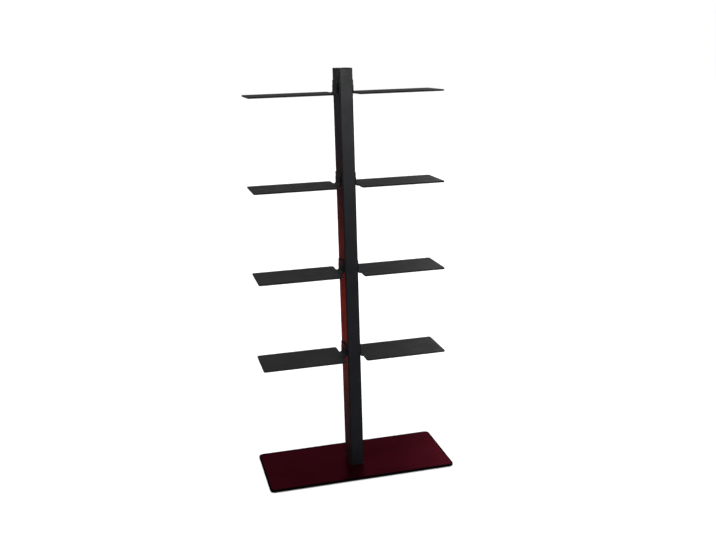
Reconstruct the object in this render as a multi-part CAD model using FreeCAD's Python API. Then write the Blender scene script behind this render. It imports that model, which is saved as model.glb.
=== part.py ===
import FreeCAD, Part
import math
import os

# Spine bookshelf: a rectangular steel tube stands on a foot plate and carries two rows of cantilevered
# shelves. Each shelf is one folded sheet of steel. A short flange stands up from its inner end, and two ears
# folded from that flange hook through slots in the tube and drop behind its wall.
# Frame: millimetres, +Z up, +X along the foot plate, origin on the floor under the centre of the column.

# ---------------------------------------------------------------- foot plate and floor pads
BASE_LENGTH = 400.0
BASE_DEPTH = 175.0
BASE_THICKNESS = 5.0
BASE_CORNER_RADIUS = 10.0
BASE_EDGE_CHAMFER = 0.8
PAD_RADIUS = 11.0
PAD_THICKNESS = 1.5
PAD_INSET = 18.0

# ---------------------------------------------------------------- column
TUBE_WIDTH = 28.0
TUBE_DEPTH = 56.0
TUBE_WALL = 2.0
TUBE_CORNER_RADIUS = 3.0
TUBE_ABOVE_TOP_SLOT = 13.0

# ---------------------------------------------------------------- cap in the top of the tube
CAP_HEAD_THICKNESS = 2.0
CAP_HEAD_CHAMFER = 0.8
CAP_SKIRT_DEPTH = 9.0
CAP_SKIRT_WALL = 1.6
CAP_RIB_HEIGHT = 1.0
CAP_RIB_THICKNESS = 1.2
CAP_RIBS_PER_SIDE = 3
CAP_FIT = 0.1

# ---------------------------------------------------------------- foot block and base screws
BLOCK_HEIGHT = 25.0
BLOCK_CHAMFER = 1.5
BLOCK_FIT = 0.1
SCREW_SPACING = 26.0
SCREW_RADIUS = 4.0
SCREW_HEAD_RADIUS = 7.8
SCREW_LENGTH = 22.0
SCREW_HEAD_RECESS = 0.2
SCREW_THREAD_FIT = 0.05
SCREW_HOLE_FIT = 0.5
SCREW_SEAT_FIT = 0.1
SCREW_SOCKET_ACROSS_FLATS = 5.0
SCREW_SOCKET_DEPTH = 2.6

# ---------------------------------------------------------------- shelves
SHELF_COUNT = 4
SHELF_PITCH = 182.0
LOWEST_SHELF_HEIGHT = 247.0
SHELF_REACH = 181.0
SHELF_DEPTH = 100.0
SHELF_SHEET = 3.0
SHELF_CORNER_RADIUS = 5.0
SHELF_EDGE_CHAMFER = 0.5
SHELF_BEND_RADIUS = 3.0
SHELF_BEND_RELIEF = 1.2
FLANGE_HEIGHT = 24.0
FLANGE_SHOULDER_WIDTH = 37.0
FLANGE_SHOULDER_GAP = 1.5
FLANGE_CLEARANCE = 0.3

# ---------------------------------------------------------------- hook ears
EAR_SPREAD = 40.0
EAR_BEND_RADIUS = 1.0
HOOK_NECK_HEIGHT = 8.0
HOOK_DROP = 7.0
HOOK_NOSE_WIDTH = 5.0
HOOK_BACK_RADIUS = 3.0
HOOK_TIP_RADIUS = 1.2
HOOK_LEAD_LENGTH = 3.5
HOOK_LEAD_DEPTH = 0.8
HOOK_WALL_CLEARANCE = 0.3
HOOK_SEAT_CLEARANCE = 0.1
HOOK_SIDE_CLEARANCE = 0.6
HOOK_ENTRY_CLEARANCE = 1.0

# ---------------------------------------------------------------- heights and faces that follow from these
BASE_BOTTOM_Z = PAD_THICKNESS
BASE_TOP_Z = BASE_BOTTOM_Z + BASE_THICKNESS
TUBE_SIDE_X = TUBE_WIDTH / 2
TUBE_INNER_X = TUBE_SIDE_X - TUBE_WALL
TUBE_INNER_Y = TUBE_DEPTH / 2 - TUBE_WALL
TUBE_INNER_RADIUS = TUBE_CORNER_RADIUS - TUBE_WALL

FLANGE_INNER_X = TUBE_SIDE_X + FLANGE_CLEARANCE
FLANGE_OUTER_X = FLANGE_INNER_X + SHELF_SHEET
BEND_END_X = FLANGE_OUTER_X + SHELF_BEND_RADIUS
EAR_OUTER_Y = EAR_SPREAD / 2
EAR_INNER_Y = EAR_OUTER_Y - SHELF_SHEET
EAR_BEND_X = FLANGE_INNER_X - EAR_BEND_RADIUS
EAR_BEND_Y = EAR_INNER_Y - EAR_BEND_RADIUS
HOOK_FACE_X = TUBE_INNER_X - HOOK_WALL_CLEARANCE
HOOK_SEAT_ABOVE_SHELF = FLANGE_HEIGHT - HOOK_NECK_HEIGHT
SLOT_TOP_ABOVE_SHELF = FLANGE_HEIGHT + HOOK_DROP + HOOK_ENTRY_CLEARANCE

# Places nearer to each other than this count as one.
TOUCH = 1e-4


def shelf_height(level):
    """Height of a shelf's top face above the floor. Level 1 is the lowest."""
    return BASE_TOP_Z + LOWEST_SHELF_HEIGHT + (level - 1) * SHELF_PITCH


TUBE_TOP_Z = shelf_height(SHELF_COUNT) + SLOT_TOP_ABOVE_SHELF + TUBE_ABOVE_TOP_SLOT


def block(x0, x1, y0, y1, z0, z1):
    """A box between two opposite corners."""
    return Part.makeBox(x1 - x0, y1 - y0, z1 - z0, FreeCAD.Vector(x0, y0, z0))


def edges_along(solid, axis):
    """The straight edges of a solid that run along one axis, "X", "Y" or "Z"."""
    others = [name for name in "XYZ" if name != axis]
    found = []
    for edge in solid.Edges:
        spans = [getattr(edge.BoundBox, name + "Length") for name in others]
        if max(spans) < TOUCH:
            found.append(edge)
    return found


def edges_at_height(solid, z):
    """All edges of a solid that lie in the level plane at z."""
    found = []
    for edge in solid.Edges:
        box = edge.BoundBox
        if max(abs(box.ZMin - z), abs(box.ZMax - z)) < TOUCH:
            found.append(edge)
    return found


def extruded(edges, direction):
    """A closed outline of edges, filled and extruded."""
    return Part.Face(Part.Wire(edges)).extrude(direction)


def rounded_outline(corners):
    """Edges of a closed outline. Each corner is (point, radius), and a radius of 0 keeps the corner sharp."""
    starts = []
    ends = []
    arcs = []
    count = len(corners)
    for index in range(count):
        point, radius = corners[index]
        before = (corners[index - 1][0] - point).normalize()
        after = (corners[(index + 1) % count][0] - point).normalize()
        half_angle = before.getAngle(after) / 2
        setback = radius / math.tan(half_angle)
        first = point + before * setback
        last = point + after * setback
        starts.append(first)
        ends.append(last)
        if radius > 0:
            centre_way = (before + after).normalize()
            centre = point + centre_way * (radius / math.sin(half_angle))
            arcs.append(Part.Arc(first, centre - centre_way * radius, last).toShape())
        else:
            arcs.append(None)
    edges = []
    for index in range(count):
        if arcs[index] is not None:
            edges.append(arcs[index])
        following = starts[(index + 1) % count]
        if (following - ends[index]).Length > TOUCH:
            edges.append(Part.makeLine(ends[index], following))
    return edges


def rounded_box(width, depth, z0, z1, radius):
    """An upright box centred on the Z axis with rounded vertical edges."""
    solid = block(-width / 2, width / 2, -depth / 2, depth / 2, z0, z1)
    return solid.makeFillet(radius, edges_along(solid, "Z"))


# ---------------------------------------------------------------- base_plate
def screw_places():
    """Centres of the base screws, in line along the tube's long side."""
    return [FreeCAD.Vector(0, side * SCREW_SPACING / 2, 0) for side in (-1, 1)]


def countersink_cutter(place):
    """The hole in the foot plate for one countersunk screw, opened to 90 degrees at the underside."""
    hole_radius = SCREW_RADIUS + SCREW_HOLE_FIT
    sink_radius = SCREW_HEAD_RADIUS + SCREW_SEAT_FIT
    underside = place + FreeCAD.Vector(0, 0, BASE_BOTTOM_Z)
    head_bottom = underside + FreeCAD.Vector(0, 0, SCREW_HEAD_RECESS)
    hole = Part.makeCylinder(hole_radius, BASE_THICKNESS, underside)
    mouth = Part.makeCylinder(sink_radius, SCREW_HEAD_RECESS, underside)
    cone = Part.makeCone(sink_radius, hole_radius, sink_radius - hole_radius, head_bottom)
    return hole.fuse(mouth).fuse(cone)


def make_base_plate():
    plate = rounded_box(BASE_LENGTH, BASE_DEPTH, BASE_BOTTOM_Z, BASE_TOP_Z, BASE_CORNER_RADIUS)
    rims = edges_at_height(plate, BASE_BOTTOM_Z) + edges_at_height(plate, BASE_TOP_Z)
    plate = plate.makeChamfer(BASE_EDGE_CHAMFER, rims)
    for place in screw_places():
        plate = plate.cut(countersink_cutter(place))
    return plate


# ---------------------------------------------------------------- floor pads
def make_floor_pad(side_x, side_y):
    x = side_x * (BASE_LENGTH / 2 - PAD_INSET)
    y = side_y * (BASE_DEPTH / 2 - PAD_INSET)
    return Part.makeCylinder(PAD_RADIUS, PAD_THICKNESS, FreeCAD.Vector(x, y, 0))


# ---------------------------------------------------------------- column_tube
def hook_slot(side_y, level):
    """One slot through both side walls of the tube. A hook nose enters it lifted, then drops by HOOK_DROP."""
    low_y, high_y = sorted(
        (side_y * (EAR_INNER_Y - HOOK_SIDE_CLEARANCE), side_y * (EAR_OUTER_Y + HOOK_SIDE_CLEARANCE))
    )
    low_z = shelf_height(level) + HOOK_SEAT_ABOVE_SHELF - HOOK_SEAT_CLEARANCE
    high_z = shelf_height(level) + SLOT_TOP_ABOVE_SHELF
    return block(-TUBE_WIDTH, TUBE_WIDTH, low_y, high_y, low_z, high_z)


def make_column_tube():
    outer = rounded_box(TUBE_WIDTH, TUBE_DEPTH, BASE_TOP_Z, TUBE_TOP_Z, TUBE_CORNER_RADIUS)
    inner = rounded_box(2 * TUBE_INNER_X, 2 * TUBE_INNER_Y, BASE_TOP_Z, TUBE_TOP_Z, TUBE_INNER_RADIUS)
    tube = outer.cut(inner)
    for level in range(1, SHELF_COUNT + 1):
        for side_y in (-1, 1):
            tube = tube.cut(hook_slot(side_y, level))
    return tube


# ---------------------------------------------------------------- column_cap
def make_column_cap():
    head_top = TUBE_TOP_Z + CAP_HEAD_THICKNESS
    head = rounded_box(TUBE_WIDTH, TUBE_DEPTH, TUBE_TOP_Z, head_top, TUBE_CORNER_RADIUS)
    head = head.makeChamfer(CAP_HEAD_CHAMFER, edges_at_height(head, head_top))
    half_x = TUBE_INNER_X - CAP_FIT - CAP_RIB_HEIGHT
    half_y = TUBE_INNER_Y - CAP_FIT - CAP_RIB_HEIGHT
    skirt_bottom = TUBE_TOP_Z - CAP_SKIRT_DEPTH
    skirt = block(-half_x, half_x, -half_y, half_y, skirt_bottom, TUBE_TOP_Z)
    skirt = skirt.cut(
        block(
            -half_x + CAP_SKIRT_WALL,
            half_x - CAP_SKIRT_WALL,
            -half_y + CAP_SKIRT_WALL,
            half_y - CAP_SKIRT_WALL,
            skirt_bottom,
            TUBE_TOP_Z,
        )
    )
    cap = head.fuse(skirt)
    rib_half = CAP_RIB_THICKNESS / 2
    for index in range(CAP_RIBS_PER_SIDE):
        y = half_y * (2 * (index + 1) / (CAP_RIBS_PER_SIDE + 1) - 1)
        grip = half_x + CAP_RIB_HEIGHT
        for side in (-1, 1):
            low_x, high_x = sorted((side * (half_x - CAP_SKIRT_WALL), side * grip))
            cap = cap.fuse(block(low_x, high_x, y - rib_half, y + rib_half, skirt_bottom, TUBE_TOP_Z))
    grip = half_y + CAP_RIB_HEIGHT
    for side in (-1, 1):
        low_y, high_y = sorted((side * (half_y - CAP_SKIRT_WALL), side * grip))
        cap = cap.fuse(block(-rib_half, rib_half, low_y, high_y, skirt_bottom, TUBE_TOP_Z))
    return cap.removeSplitter()


# ---------------------------------------------------------------- foot_block
def make_foot_block():
    half_x = TUBE_INNER_X - BLOCK_FIT
    half_y = TUBE_INNER_Y - BLOCK_FIT
    body = block(-half_x, half_x, -half_y, half_y, BASE_TOP_Z, BASE_TOP_Z + BLOCK_HEIGHT)
    body = body.makeChamfer(BLOCK_CHAMFER, edges_along(body, "Z"))
    for place in screw_places():
        foot = place + FreeCAD.Vector(0, 0, BASE_TOP_Z)
        body = body.cut(Part.makeCylinder(SCREW_RADIUS + SCREW_THREAD_FIT, BLOCK_HEIGHT, foot))
    return body


# ---------------------------------------------------------------- base_screws
def hexagon(across_flats, z):
    """A hexagonal face around the Z axis."""
    radius = across_flats / math.sqrt(3)
    corners = []
    for turn in range(7):
        angle = turn * math.pi / 3
        corners.append(FreeCAD.Vector(radius * math.cos(angle), radius * math.sin(angle), z))
    return Part.Face(Part.makePolygon(corners))


def make_base_screw(place):
    bottom = BASE_BOTTOM_Z + SCREW_HEAD_RECESS
    head_top = bottom + SCREW_HEAD_RADIUS - SCREW_RADIUS
    tip = bottom + SCREW_LENGTH
    profile = Part.makePolygon(
        [
            FreeCAD.Vector(0, 0, bottom),
            FreeCAD.Vector(SCREW_HEAD_RADIUS, 0, bottom),
            FreeCAD.Vector(SCREW_RADIUS, 0, head_top),
            FreeCAD.Vector(SCREW_RADIUS, 0, tip),
            FreeCAD.Vector(0, 0, tip),
            FreeCAD.Vector(0, 0, bottom),
        ]
    )
    screw = Part.Face(profile).revolve(FreeCAD.Vector(0, 0, 0), FreeCAD.Vector(0, 0, 1), 360)
    socket = hexagon(SCREW_SOCKET_ACROSS_FLATS, bottom)
    screw = screw.cut(socket.extrude(FreeCAD.Vector(0, 0, SCREW_SOCKET_DEPTH)))
    screw.translate(place)
    return screw


# ---------------------------------------------------------------- shelves
def quarter_bend(centre, first_way, last_way, inner_radius, along):
    """A sheet bent through a quarter turn about an axis through centre, and as long as the vector along."""
    outer_radius = inner_radius + SHELF_SHEET
    middle_way = (first_way + last_way).normalize()
    outer = [centre + way * outer_radius for way in (first_way, middle_way, last_way)]
    inner = [centre + way * inner_radius for way in (last_way, middle_way, first_way)]
    edges = [
        Part.Arc(*outer).toShape(),
        Part.makeLine(outer[2], inner[0]),
        Part.Arc(*inner).toShape(),
        Part.makeLine(inner[2], outer[0]),
    ]
    return extruded(edges, along)


def shelf_plate(top_z):
    """The flat of the shelf, its inner edge clear of the bend, and the tongue that joins it to the bend."""
    inner_x = BEND_END_X + SHELF_BEND_RELIEF
    outer_x = TUBE_SIDE_X + SHELF_REACH
    half = SHELF_DEPTH / 2
    bottom_z = top_z - SHELF_SHEET
    corners = []
    for x, y in ((inner_x, -half), (outer_x, -half), (outer_x, half), (inner_x, half)):
        corners.append((FreeCAD.Vector(x, y, bottom_z), SHELF_CORNER_RADIUS))
    plate = extruded(rounded_outline(corners), FreeCAD.Vector(0, 0, SHELF_SHEET))
    rims = edges_at_height(plate, bottom_z) + edges_at_height(plate, top_z)
    plate = plate.makeChamfer(SHELF_EDGE_CHAMFER, rims)
    tongue_half = FLANGE_SHOULDER_WIDTH / 2
    tongue_end_x = inner_x + SHELF_EDGE_CHAMFER
    tongue = block(BEND_END_X, tongue_end_x, -tongue_half, tongue_half, bottom_z, top_z)
    return plate.fuse(tongue)


def shelf_flange(top_z):
    """The bend up from the plate and the flange above it, narrowed beside the ears."""
    shoulder = FLANGE_SHOULDER_WIDTH / 2
    centre = FreeCAD.Vector(BEND_END_X, -shoulder, top_z + SHELF_BEND_RADIUS)
    towards_column = FreeCAD.Vector(-1, 0, 0)
    down = FreeCAD.Vector(0, 0, -1)
    across = FreeCAD.Vector(0, FLANGE_SHOULDER_WIDTH, 0)
    bend = quarter_bend(centre, towards_column, down, SHELF_BEND_RADIUS, across)
    shoulder_top = top_z + HOOK_SEAT_ABOVE_SHELF - FLANGE_SHOULDER_GAP
    flange_top = top_z + FLANGE_HEIGHT
    wide = block(FLANGE_INNER_X, FLANGE_OUTER_X, -shoulder, shoulder, centre.z, shoulder_top)
    narrow = block(FLANGE_INNER_X, FLANGE_OUTER_X, -EAR_BEND_Y, EAR_BEND_Y, centre.z, flange_top)
    return bend.fuse(wide).fuse(narrow)


def hook_ear(top_z):
    """The ear at +Y: a fold towards the tube, a neck through the wall and a nose that drops behind it."""
    seat_z = top_z + HOOK_SEAT_ABOVE_SHELF
    neck_top = top_z + FLANGE_HEIGHT
    tip_z = seat_z - HOOK_DROP
    back_x = HOOK_FACE_X - HOOK_NOSE_WIDTH
    outwards = FreeCAD.Vector(1, 0, 0)
    sideways = FreeCAD.Vector(0, 1, 0)
    centre = FreeCAD.Vector(EAR_BEND_X, EAR_BEND_Y, seat_z)
    neck = FreeCAD.Vector(0, 0, HOOK_NECK_HEIGHT)
    fold = quarter_bend(centre, outwards, sideways, EAR_BEND_RADIUS, neck)
    profile = [
        (EAR_BEND_X, seat_z, 0.0),
        (EAR_BEND_X, neck_top, 0.0),
        (back_x, neck_top, HOOK_BACK_RADIUS),
        (back_x, tip_z, HOOK_TIP_RADIUS),
        (HOOK_FACE_X - HOOK_LEAD_DEPTH, tip_z, HOOK_TIP_RADIUS),
        (HOOK_FACE_X, tip_z + HOOK_LEAD_LENGTH, 0.0),
        (HOOK_FACE_X, seat_z, 0.0),
    ]
    corners = [(FreeCAD.Vector(x, EAR_INNER_Y, z), radius) for x, z, radius in profile]
    nose = extruded(rounded_outline(corners), sideways * SHELF_SHEET)
    return fold.fuse(nose)


def make_shelf(side_x, level):
    """A shelf made for the +X side. The same piece, turned half round, serves the -X side."""
    top_z = shelf_height(level)
    ear = hook_ear(top_z)
    other_ear = ear.mirror(FreeCAD.Vector(0, 0, 0), FreeCAD.Vector(0, 1, 0))
    shelf = shelf_plate(top_z).fuse([shelf_flange(top_z), ear, other_ear]).removeSplitter()
    if side_x < 0:
        shelf.rotate(FreeCAD.Vector(0, 0, 0), FreeCAD.Vector(0, 0, 1), 180)
    return shelf


# ---------------------------------------------------------------- export
def export(name, shapes):
    """Writes one node. A node of several like pieces holds them as separate solids."""
    shape = shapes[0] if len(shapes) == 1 else Part.makeCompound(shapes)
    shape.exportStep("parts/" + name + ".step")


def main():
    os.makedirs("parts", exist_ok=True)
    export("base_plate", [make_base_plate()])
    export("column_tube", [make_column_tube()])
    export("column_cap", [make_column_cap()])
    export("foot_block", [make_foot_block()])
    export("base_screws", [make_base_screw(place) for place in screw_places()])
    for end, side_y in (("front", -1), ("back", 1)):
        for hand, side_x in (("left", -1), ("right", 1)):
            export("floor_pad_" + end + "_" + hand, [make_floor_pad(side_x, side_y)])
    for hand, side_x in (("left", -1), ("right", 1)):
        for level in range(1, SHELF_COUNT + 1):
            export("shelf_" + hand + "_" + str(level), [make_shelf(side_x, level)])


main()
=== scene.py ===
import math

import bpy
from mathutils import Matrix, Vector


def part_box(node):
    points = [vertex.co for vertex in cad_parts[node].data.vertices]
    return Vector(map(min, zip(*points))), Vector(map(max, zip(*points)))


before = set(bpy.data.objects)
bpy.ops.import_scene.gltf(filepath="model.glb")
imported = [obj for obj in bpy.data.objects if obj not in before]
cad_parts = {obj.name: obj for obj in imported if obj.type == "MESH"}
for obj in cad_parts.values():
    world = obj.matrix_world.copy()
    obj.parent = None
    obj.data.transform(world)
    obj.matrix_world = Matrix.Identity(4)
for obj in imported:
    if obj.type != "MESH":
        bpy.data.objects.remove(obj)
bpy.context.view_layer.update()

# The spine bookshelf's looks: a finish for every CAD node, a pale studio round them and the camera of the
# photograph. Everything is in metres, in the CAD frame: the origin is on the floor under the column, +X runs
# along the foot plate to the right, +Y to the back and +Z up.

MM = 0.001
ORIGIN = (0.0, 0.0, 0.0)
WHITE = (1.0, 1.0, 1.0)


# ---------------------------------------------------------------- nodes
# A Mix node has sockets of the same names for numbers, vectors and colours. These are the colour ones.
MIX_FIRST_COLOUR = 6
MIX_SECOND_COLOUR = 7
MIX_RESULT_COLOUR = 2

BEVEL_SAMPLES = 4
# Most of a noise lies in this span of its 0 to 1.
NOISE_MIDDLE = (0.3, 0.7)
# How alike the rounded and the true normal are: an edge below this span, a flat face above it.
EDGE_LIKENESS = (0.80, 0.99)


def start_material(name):
    """A new material, its node tree and its shader."""
    material = bpy.data.materials.new(name)
    material.use_nodes = True
    tree = material.node_tree
    return material, tree, tree.nodes["Principled BSDF"]


def object_place(tree, stretch=(1.0, 1.0, 1.0)):
    """The point on the object in metres, times a factor along each axis."""
    place = tree.nodes.new("ShaderNodeTexCoord")
    mapping = tree.nodes.new("ShaderNodeMapping")
    mapping.inputs["Scale"].default_value = stretch
    tree.links.new(place.outputs["Object"], mapping.inputs["Vector"])
    return mapping.outputs["Vector"]


def noise(tree, place, wavelength, detail=2.0, roughness=0.5):
    """A noise from 0 to 1 whose lumps are about one wavelength in metres apart."""
    node = tree.nodes.new("ShaderNodeTexNoise")
    node.inputs["Scale"].default_value = 1.0 / wavelength
    node.inputs["Detail"].default_value = detail
    node.inputs["Roughness"].default_value = roughness
    tree.links.new(place, node.inputs["Vector"])
    return node.outputs["Fac"]


def remap(tree, value, span, start=0.0, end=1.0):
    """Goes smoothly from start to end while the value crosses the span, and holds them outside it."""
    node = tree.nodes.new("ShaderNodeMapRange")
    node.interpolation_type = "SMOOTHSTEP"
    tree.links.new(value, node.inputs["Value"])
    for socket, number in zip(("From Min", "From Max", "To Min", "To Max"), (*span, start, end)):
        node.inputs[socket].default_value = number
    return node.outputs["Result"]


def operate(node, first, second):
    """Gives a node its first two inputs, each a plain value or another node's output."""
    for socket, value in zip(node.inputs, (first, second)):
        if isinstance(value, (int, float, tuple)):
            socket.default_value = value
        else:
            node.id_data.links.new(value, socket)


def math_node(tree, operation, first, second):
    """A sum on two numbers."""
    node = tree.nodes.new("ShaderNodeMath")
    node.operation = operation
    operate(node, first, second)
    return node.outputs["Value"]


def product(tree, first, *others):
    """All the numbers multiplied together."""
    for other in others:
        first = math_node(tree, "MULTIPLY", first, other)
    return first


def vector_node(tree, operation, first, second=ORIGIN):
    """A sum on one vector or on two."""
    node = tree.nodes.new("ShaderNodeVectorMath")
    node.operation = operation
    operate(node, first, second)
    return node.outputs["Value" if operation in ("LENGTH", "DOT_PRODUCT") else "Vector"]


def mixed(tree, share, first, second):
    """A mix of two colours by a share from 0 to 1."""
    node = tree.nodes.new("ShaderNodeMix")
    node.data_type = "RGBA"
    tree.links.new(share, node.inputs["Factor"])
    for index, value in ((MIX_FIRST_COLOUR, first), (MIX_SECOND_COLOUR, second)):
        if isinstance(value, tuple):
            node.inputs[index].default_value = (*value, 1.0)
        else:
            tree.links.new(value, node.inputs[index])
    return node.outputs[MIX_RESULT_COLOUR]


def true_normal(tree):
    """The way the flat surface faces, before any bump or bevel."""
    geometry = tree.nodes.new("ShaderNodeNewGeometry")
    return geometry.outputs["True Normal"]


def upward(tree):
    """How far the surface faces up: 1 on top, 0 on upright faces, -1 underneath."""
    split = tree.nodes.new("ShaderNodeSeparateXYZ")
    tree.links.new(true_normal(tree), split.inputs["Vector"])
    return split.outputs["Z"]


def rounded_normal(tree, radius):
    """The normal of a surface whose edges are rounded to the radius."""
    bevel = tree.nodes.new("ShaderNodeBevel")
    bevel.samples = BEVEL_SAMPLES
    bevel.inputs["Radius"].default_value = radius
    return bevel.outputs["Normal"]


def edge_mask(tree, radius):
    """1 on edges and corners narrower than the radius, 0 on flat faces."""
    likeness = vector_node(tree, "DOT_PRODUCT", rounded_normal(tree, radius), true_normal(tree))
    return remap(tree, likeness, EDGE_LIKENESS, 1.0, 0.0)


def beyond_corner(tree, place, node_name, corner_radius):
    """How far a point lies outside the middle of a flat plate with rounded corners: the radius at its rim."""
    low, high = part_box(node_name)
    middle = tuple((a + b) / 2 for a, b in zip(low, high))
    reach_x, reach_y, _ = ((b - a) / 2 - corner_radius for a, b in zip(low, high))
    away = vector_node(tree, "ABSOLUTE", vector_node(tree, "SUBTRACT", place, middle))
    # The 1 m takes the height out of the distance.
    outside = vector_node(tree, "SUBTRACT", away, (reach_x, reach_y, 1.0))
    return vector_node(tree, "LENGTH", vector_node(tree, "MAXIMUM", outside, ORIGIN))


def bumped(tree, shader, height, distance, strength, edge_radius):
    """Bump from a height of 0 to 1 that stands for a distance in metres, over softened edges."""
    bump = tree.nodes.new("ShaderNodeBump")
    bump.inputs["Strength"].default_value = strength
    bump.inputs["Distance"].default_value = distance
    tree.links.new(height, bump.inputs["Height"])
    tree.links.new(rounded_normal(tree, edge_radius), bump.inputs["Normal"])
    tree.links.new(bump.outputs["Normal"], shader.inputs["Normal"])


# ---------------------------------------------------------------- photograph's camera
PHOTO_WIDTH_PX = 716
FOCAL_LENGTH_PX = 861.7
SENSOR_WIDTH_MM = 36.0
CAMERA_PLACE = (-0.4062, -1.6891, 0.8809)
CAMERA_YAW_DEG = 14.168
CAMERA_PITCH_DEG = -14.368
CAMERA_ROLL_DEG = -1.656
NEAREST_SEEN = 0.01
FURTHEST_SEEN = 100.0


def make_camera():
    """The camera of the photograph. Yaw turns from +Y towards +X. Roll turns the frame about the view."""
    data = bpy.data.cameras.new("photo_camera")
    data.sensor_width = SENSOR_WIDTH_MM
    data.lens = SENSOR_WIDTH_MM * FOCAL_LENGTH_PX / PHOTO_WIDTH_PX
    data.clip_start = NEAREST_SEEN
    data.clip_end = FURTHEST_SEEN
    camera = bpy.data.objects.new("photo_camera", data)
    bpy.context.scene.collection.objects.link(camera)
    turn = Matrix.Rotation(-math.radians(CAMERA_YAW_DEG), 4, "Z")
    tilt = Matrix.Rotation(math.radians(90.0 + CAMERA_PITCH_DEG), 4, "X")
    roll = Matrix.Rotation(math.radians(CAMERA_ROLL_DEG), 4, "Z")
    camera.matrix_world = Matrix.Translation(CAMERA_PLACE) @ turn @ tilt @ roll
    bpy.context.scene.camera = camera


# ---------------------------------------------------------------- studio
FLOOR_SIZE = 30.0
FLOOR_COLOUR = (0.9, 0.9, 0.9)
FLOOR_ROUGHNESS = 0.9
FLOOR_GLOW = 0.2

ROOM_WALLS = (0.14, 0.14, 0.145)
ROOM_FLOOR_DARK = (0.02, 0.022, 0.028)
ROOM_FLOOR_FRONT = (0.15, 0.16, 0.21)
CARPET_RED = (0.78, 0.045, 0.03)
CARPET_PALE = (0.51, 0.45, 0.465)

# Where one part of the room turns into the next, as spans of a direction's X (aside), Y (depth) or Z
# (height), which run from -1 to 1. A low height is near the object and a height of 0 is the horizon.
FLOOR_TO_WALLS_HEIGHT = (-0.15, 0.05)
FRONT_FLOOR_DEPTH = (-0.7, -0.2)
FRONT_FLOOR_ASIDE = (-0.2, 0.1)
CARPET_DEPTH = (0.1, 0.8)
CARPET_LEFT_EDGE = (-0.42, -0.30)
CARPET_RIGHT_EDGE = (-0.12, 0.0)
CARPET_NEAR_EDGE = (-0.39, -0.35)
CARPET_FAR_EDGE = (-0.28, -0.14)
CARPET_PALE_TO_RED = (-0.375, -0.35)

COLUMN_NODES = ("column_tube", "column_cap")


def make_floor():
    """A white floor that is clear from below, so that the underside of the foot plate can be seen."""
    half = FLOOR_SIZE / 2
    corners = [(-half, -half, 0), (half, -half, 0), (half, half, 0), (-half, half, 0)]
    mesh = bpy.data.meshes.new("studio_floor")
    mesh.from_pydata(corners, [], [(0, 1, 2, 3)])
    floor = bpy.data.objects.new("studio_floor", mesh)
    bpy.context.scene.collection.objects.link(floor)
    material, tree, shader = start_material("studio_floor")
    shader.inputs["Base Color"].default_value = (*FLOOR_COLOUR, 1.0)
    shader.inputs["Roughness"].default_value = FLOOR_ROUGHNESS
    shader.inputs["Specular IOR Level"].default_value = 0.0
    shader.inputs["Emission Color"].default_value = (*WHITE, 1.0)
    path = tree.nodes.new("ShaderNodeLightPath")
    glow = product(tree, path.outputs["Is Camera Ray"], FLOOR_GLOW)
    tree.links.new(glow, shader.inputs["Emission Strength"])
    clear = tree.nodes.new("ShaderNodeBsdfTransparent")
    geometry = tree.nodes.new("ShaderNodeNewGeometry")
    sides = tree.nodes.new("ShaderNodeMixShader")
    from_below, top, underside = sides.inputs
    tree.links.new(geometry.outputs["Backfacing"], from_below)
    tree.links.new(shader.outputs["BSDF"], top)
    tree.links.new(clear.outputs["BSDF"], underside)
    tree.links.new(sides.outputs["Shader"], tree.nodes["Material Output"].inputs["Surface"])
    mesh.materials.append(material)
    floor.visible_glossy = False


def make_world():
    """White where the camera sees it. It lights and reflects as a dim room.

    The room has a narrow carpet at the back left, pale near the object and red further off, which the
    column's left face reflects in the photograph's view.
    """
    world = bpy.data.worlds.new("studio")
    bpy.context.scene.world = world
    world.use_nodes = True
    tree = world.node_tree
    direction = tree.nodes.new("ShaderNodeTexCoord")
    split = tree.nodes.new("ShaderNodeSeparateXYZ")
    tree.links.new(direction.outputs["Generated"], split.inputs["Vector"])
    aside, depth, height = split.outputs
    front = product(
        tree,
        remap(tree, depth, FRONT_FLOOR_DEPTH, 1.0, 0.0),
        remap(tree, aside, FRONT_FLOOR_ASIDE),
    )
    bare_floor = mixed(tree, front, ROOM_FLOOR_DARK, ROOM_FLOOR_FRONT)
    behind = remap(tree, depth, CARPET_DEPTH)
    across = product(
        tree,
        remap(tree, aside, CARPET_LEFT_EDGE),
        remap(tree, aside, CARPET_RIGHT_EDGE, 1.0, 0.0),
    )
    along = product(
        tree,
        remap(tree, height, CARPET_NEAR_EDGE),
        remap(tree, height, CARPET_FAR_EDGE, 1.0, 0.0),
    )
    laid = product(tree, behind, across, along)
    carpet = mixed(tree, remap(tree, height, CARPET_PALE_TO_RED, 1.0, 0.0), CARPET_RED, CARPET_PALE)
    floor = mixed(tree, laid, bare_floor, carpet)
    room = mixed(tree, remap(tree, height, FLOOR_TO_WALLS_HEIGHT), floor, ROOM_WALLS)
    path = tree.nodes.new("ShaderNodeLightPath")
    seen = mixed(tree, path.outputs["Is Camera Ray"], room, WHITE)
    tree.links.new(seen, tree.nodes["Background"].inputs["Color"])


def place_light(name, data, place, way):
    """Puts a light at a place, so that it shines along a way."""
    light = bpy.data.objects.new(name, data)
    bpy.context.scene.collection.objects.link(light)
    turn = Vector(way).to_track_quat("-Z", "Y").to_matrix().to_4x4()
    light.matrix_world = Matrix.Translation(place) @ turn
    return light


def make_soft_box(name, place, aim_height, size, radiance):
    """A flat light that glows evenly, aimed at a height on the column. Its power follows from its size."""
    width, height = size
    data = bpy.data.lights.new(name, "AREA")
    data.shape = "RECTANGLE"
    data.size = width
    data.size_y = height
    data.energy = radiance * math.pi * width * height
    way = Vector((0.0, 0.0, aim_height)) - Vector(place)
    light = place_light(name, data, place, way)
    light.visible_camera = False
    return light


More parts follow.
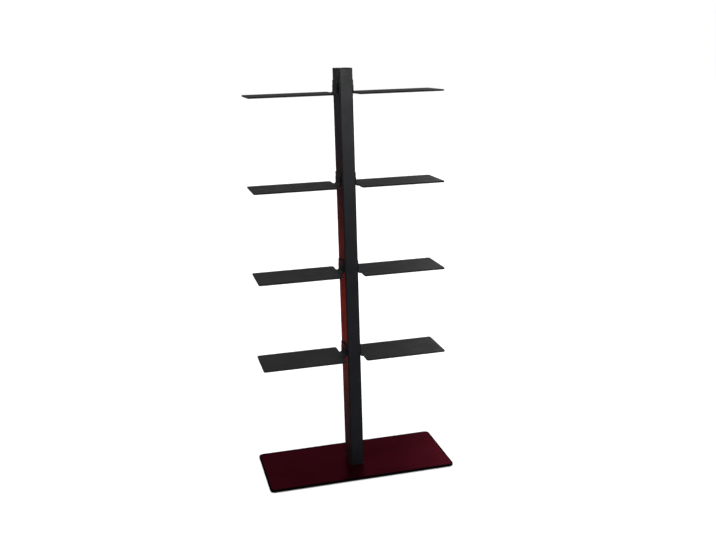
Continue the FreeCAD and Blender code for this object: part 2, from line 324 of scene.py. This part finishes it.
def make_sun(name, way, strength, angle_deg):
    """Broad light from above, which leaves no highlight."""
    data = bpy.data.lights.new(name, "SUN")
    data.energy = strength
    data.angle = math.radians(angle_deg)
    place_light(name, data, ORIGIN, way).visible_glossy = False


def light_only(light, names):
    """Keeps a light to the CAD nodes named, so that it leaves no glare on the rest."""
    lit = bpy.data.collections.new(light.name + "_receivers")
    for name in names:
        lit.objects.link(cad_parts[name])
    light.light_linking.receiver_collection = lit


def make_lights():
    """Light from above, soft boxes at both sides and at the back, and two for the column alone."""
    make_sun("sky_light", way=(0.05, 0.10, -1.0), strength=3.3, angle_deg=90.0)
    for name, aside in (("right_light", 2.2), ("left_light", -2.2)):
        make_soft_box(name, (aside, -0.6, 1.2), aim_height=0.5, size=(1.0, 1.2), radiance=2.5)
    make_soft_box("back_light", (1.9, 2.9, 1.3), aim_height=0.2, size=(1.2, 1.0), radiance=1.1)
    for name, place, size, radiance in (
        ("column_front_light", (1.05, -3.0, 1.15), (1.5, 1.1), 3.5),
        ("column_back_light", (1.0, 3.2, 0.95), (1.2, 1.1), 4.0),
    ):
        light = make_soft_box(name, place, aim_height=0.75, size=size, radiance=radiance)
        light_only(light, COLUMN_NODES)


# ---------------------------------------------------------------- finishes
# Painted shade: the near-black of the foot plate's rim, sides and underside, for the dark room they reflect.
PAINTED_SHADE_BLACK = (0.016, 0.009, 0.009)
LACQUER_DARK = (0.155, 0.011, 0.024)
LACQUER_LIGHT = (0.195, 0.0135, 0.033)
LACQUER_EDGE_TINT = (0.60, 0.53, 0.53)
LACQUER_ROUGHNESS = (0.26, 0.36)
PLATE_CORNER_RADIUS = 10.0 * MM
RIM_WIDTH = 4.0 * MM
RIM_SHARP_WIDTH = 2.6 * MM
RIM_RAGGED = 0.8 * MM

CAP_DARK = (0.010, 0.010, 0.011)
CAP_LIGHT = (0.016, 0.016, 0.017)
CAP_ROUGHNESS = (0.5, 0.62)
RUBBER_BLACK = (0.012, 0.012, 0.012)
RUBBER_DUSTY = (0.024, 0.023, 0.022)
RUBBER_ROUGHNESS = (0.75, 0.9)

COATING_GLOSS = 0.4
RUBBER_GLOSS = 0.3
RUB_POLISH = 0.12
SPECK_STRENGTH = 0.35
WEAR_STRENGTH = 0.6
WORN_EDGE_WIDTH = 0.8 * MM

# How far up a surface faces, from where the look of the top starts to where it is full. Below the plate's
# span its faces get painted shade.
PLATE_SHADE_FACING = (0.6, 0.95)
COATING_TOP_FACING = (0.9, 0.99)

# Spans of the noises, from where a mark starts to where it is full.
SMEAR_SPAN = (0.3, 0.75)
SPECK_SPAN = (0.62, 0.75)
STREAK_SPAN = (0.52, 0.72)
PATCH_SPAN = (0.42, 0.62)
FRAY_SPAN = (0.45, 0.7)
DUST_SPAN = (0.35, 0.7)


def base_lacquer():
    """Maroon metal lacquer, with painted shade on its rim, its sides and its underside.

    It has faint clouding and fine orange peel.
    """
    material, tree, shader = start_material("base_lacquer_finish")
    place = object_place(tree)
    cloud = remap(tree, noise(tree, place, 90.0 * MM, detail=3.0), NOISE_MIDDLE)
    tone = mixed(tree, cloud, LACQUER_DARK, LACQUER_LIGHT)
    # Painted shade: a ragged band along the rim of the top, and every face that doesn't face up, turn
    # near-black.
    ragged = remap(tree, noise(tree, place, 7.0 * MM), NOISE_MIDDLE, 0.0, RIM_RAGGED)
    to_rim = beyond_corner(tree, place, "base_plate", PLATE_CORNER_RADIUS)
    to_rim = math_node(tree, "ADD", to_rim, ragged)
    rim = remap(tree, to_rim, (PLATE_CORNER_RADIUS - RIM_WIDTH, PLATE_CORNER_RADIUS - RIM_SHARP_WIDTH))
    painted_shade = math_node(tree, "MAXIMUM", rim, remap(tree, upward(tree), PLATE_SHADE_FACING, 1.0, 0.0))
    tree.links.new(mixed(tree, painted_shade, tone, PAINTED_SHADE_BLACK), shader.inputs["Base Color"])
    smear = noise(tree, object_place(tree, (1.0, 2.5, 1.0)), 50.0 * MM, detail=4.0, roughness=0.6)
    tree.links.new(remap(tree, smear, SMEAR_SPAN, *LACQUER_ROUGHNESS), shader.inputs["Roughness"])
    peel = noise(tree, place, 2.2 * MM, detail=1.0)
    bumped(tree, shader, peel, distance=0.02 * MM, strength=1.0, edge_radius=0.6 * MM)
    shader.inputs["Metallic"].default_value = 1.0
    shader.inputs["Specular Tint"].default_value = (*LACQUER_EDGE_TINT, 1.0)
    return material


def powder_coat(name, dark, light, dust, roughness, peel, rubbed=0.0):
    """A satin powder coat: orange peel, slow changes of tone and gloss, dust specks and a worn lighter edge.

    Peel is the wavelength of the orange peel. Rubbed is how strongly the top shows faint streaks along X,
    where books slide in and out.
    """
    material, tree, shader = start_material(name)
    place = object_place(tree)
    cloud = remap(tree, noise(tree, place, 60.0 * MM, detail=3.0), NOISE_MIDDLE)
    tone = mixed(tree, cloud, dark, light)
    speck = noise(tree, place, 1.4 * MM, roughness=0.7)
    tone = mixed(tree, remap(tree, speck, SPECK_SPAN, 0.0, SPECK_STRENGTH), tone, dust)
    streak = noise(tree, object_place(tree, (0.05, 1.0, 1.0)), 1.6 * MM, detail=3.0, roughness=0.6)
    patch = noise(tree, place, 45.0 * MM)
    rub = product(
        tree,
        remap(tree, streak, STREAK_SPAN),
        remap(tree, patch, PATCH_SPAN, 0.0, rubbed),
        remap(tree, upward(tree), COATING_TOP_FACING),
    )
    tone = mixed(tree, rub, tone, dust)
    fray = noise(tree, place, 20.0 * MM, detail=4.0, roughness=0.7)
    worn = product(
        tree,
        edge_mask(tree, WORN_EDGE_WIDTH),
        remap(tree, fray, FRAY_SPAN, 0.0, WEAR_STRENGTH),
    )
    tree.links.new(mixed(tree, worn, tone, dust), shader.inputs["Base Color"])
    smear = noise(tree, place, 30.0 * MM, detail=4.0, roughness=0.6)
    satin = remap(tree, smear, SMEAR_SPAN, roughness - 0.05, roughness + 0.07)
    polished = math_node(tree, "SUBTRACT", satin, product(tree, rub, RUB_POLISH))
    tree.links.new(polished, shader.inputs["Roughness"])
    orange_peel = noise(tree, place, peel)
    bumped(tree, shader, orange_peel, distance=0.05 * MM, strength=1.0, edge_radius=0.5 * MM)
    shader.inputs["Specular IOR Level"].default_value = COATING_GLOSS
    return material


def cap_plastic():
    """Black moulded plastic with a fine grain."""
    material, tree, shader = start_material("cap_plastic_finish")
    place = object_place(tree)
    grain = noise(tree, place, 0.35 * MM, detail=1.0)
    cloud = remap(tree, noise(tree, place, 12.0 * MM), NOISE_MIDDLE)
    tree.links.new(mixed(tree, cloud, CAP_DARK, CAP_LIGHT), shader.inputs["Base Color"])
    tree.links.new(remap(tree, grain, NOISE_MIDDLE, *CAP_ROUGHNESS), shader.inputs["Roughness"])
    bumped(tree, shader, grain, distance=0.03 * MM, strength=0.8, edge_radius=0.4 * MM)
    shader.inputs["Specular IOR Level"].default_value = COATING_GLOSS
    return material


def machined_steel(name, dark, light, roughness, stretch):
    """Bare or blackened steel with fine cutting lines, closest along the axis with the largest factor."""
    material, tree, shader = start_material(name)
    lines = noise(tree, object_place(tree, stretch), 0.6 * MM, detail=3.0, roughness=0.6)
    cloud = remap(tree, noise(tree, object_place(tree), 5.0 * MM), NOISE_MIDDLE)
    tree.links.new(mixed(tree, cloud, dark, light), shader.inputs["Base Color"])
    cut = remap(tree, lines, NOISE_MIDDLE, roughness - 0.08, roughness + 0.1)
    tree.links.new(cut, shader.inputs["Roughness"])
    bumped(tree, shader, lines, distance=0.01 * MM, strength=0.6, edge_radius=0.3 * MM)
    shader.inputs["Metallic"].default_value = 1.0
    return material


def pad_rubber():
    """Matte rubber with fine pores and some dust."""
    material, tree, shader = start_material("pad_rubber_finish")
    place = object_place(tree)
    pores = noise(tree, place, 0.5 * MM, roughness=0.6)
    dusty = remap(tree, noise(tree, place, 6.0 * MM, detail=3.0), DUST_SPAN)
    tree.links.new(mixed(tree, dusty, RUBBER_BLACK, RUBBER_DUSTY), shader.inputs["Base Color"])
    tree.links.new(remap(tree, pores, NOISE_MIDDLE, *RUBBER_ROUGHNESS), shader.inputs["Roughness"])
    bumped(tree, shader, pores, distance=0.05 * MM, strength=0.8, edge_radius=0.3 * MM)
    shader.inputs["Specular IOR Level"].default_value = RUBBER_GLOSS
    return material


def dress(material, *names):
    """Gives CAD nodes a finish."""
    for name in names:
        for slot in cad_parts[name].material_slots:
            slot.material = material


def nodes_named(start):
    """The CAD nodes whose names begin with these letters."""
    return [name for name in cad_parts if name.startswith(start)]


def finish_nodes():
    """Every CAD node gets its finish."""
    charcoal = powder_coat(
        "column_powder_coat_finish",
        dark=(0.0050, 0.0053, 0.0062),
        light=(0.0070, 0.0073, 0.0084),
        dust=(0.020, 0.020, 0.022),
        roughness=0.36,
        peel=1.3 * MM,
    )
    black = powder_coat(
        "shelf_powder_coat_finish",
        dark=(0.008, 0.008, 0.0085),
        light=(0.012, 0.012, 0.0125),
        dust=(0.035, 0.035, 0.036),
        roughness=0.44,
        peel=1.1 * MM,
        rubbed=0.7,
    )
    sawn = machined_steel(
        "block_steel_finish",
        dark=(0.45, 0.44, 0.42),
        light=(0.55, 0.54, 0.52),
        roughness=0.35,
        stretch=(1, 1, 8),
    )
    blackened = machined_steel(
        "screw_steel_finish",
        dark=(0.05, 0.05, 0.052),
        light=(0.08, 0.078, 0.078),
        roughness=0.4,
        stretch=(1, 1, 6),
    )
    dress(base_lacquer(), "base_plate")
    dress(charcoal, "column_tube")
    dress(black, *nodes_named("shelf_"))
    dress(cap_plastic(), "column_cap")
    dress(sawn, "foot_block")
    dress(blackened, "base_screws")
    dress(pad_rubber(), *nodes_named("floor_pad_"))


def set_colour_management():
    """Colours come out as they are, without a film look."""
    settings = bpy.context.scene.view_settings
    settings.view_transform = "Standard"
    settings.look = "None"


make_camera()
make_floor()
make_world()
make_lights()
finish_nodes()
set_colour_management()
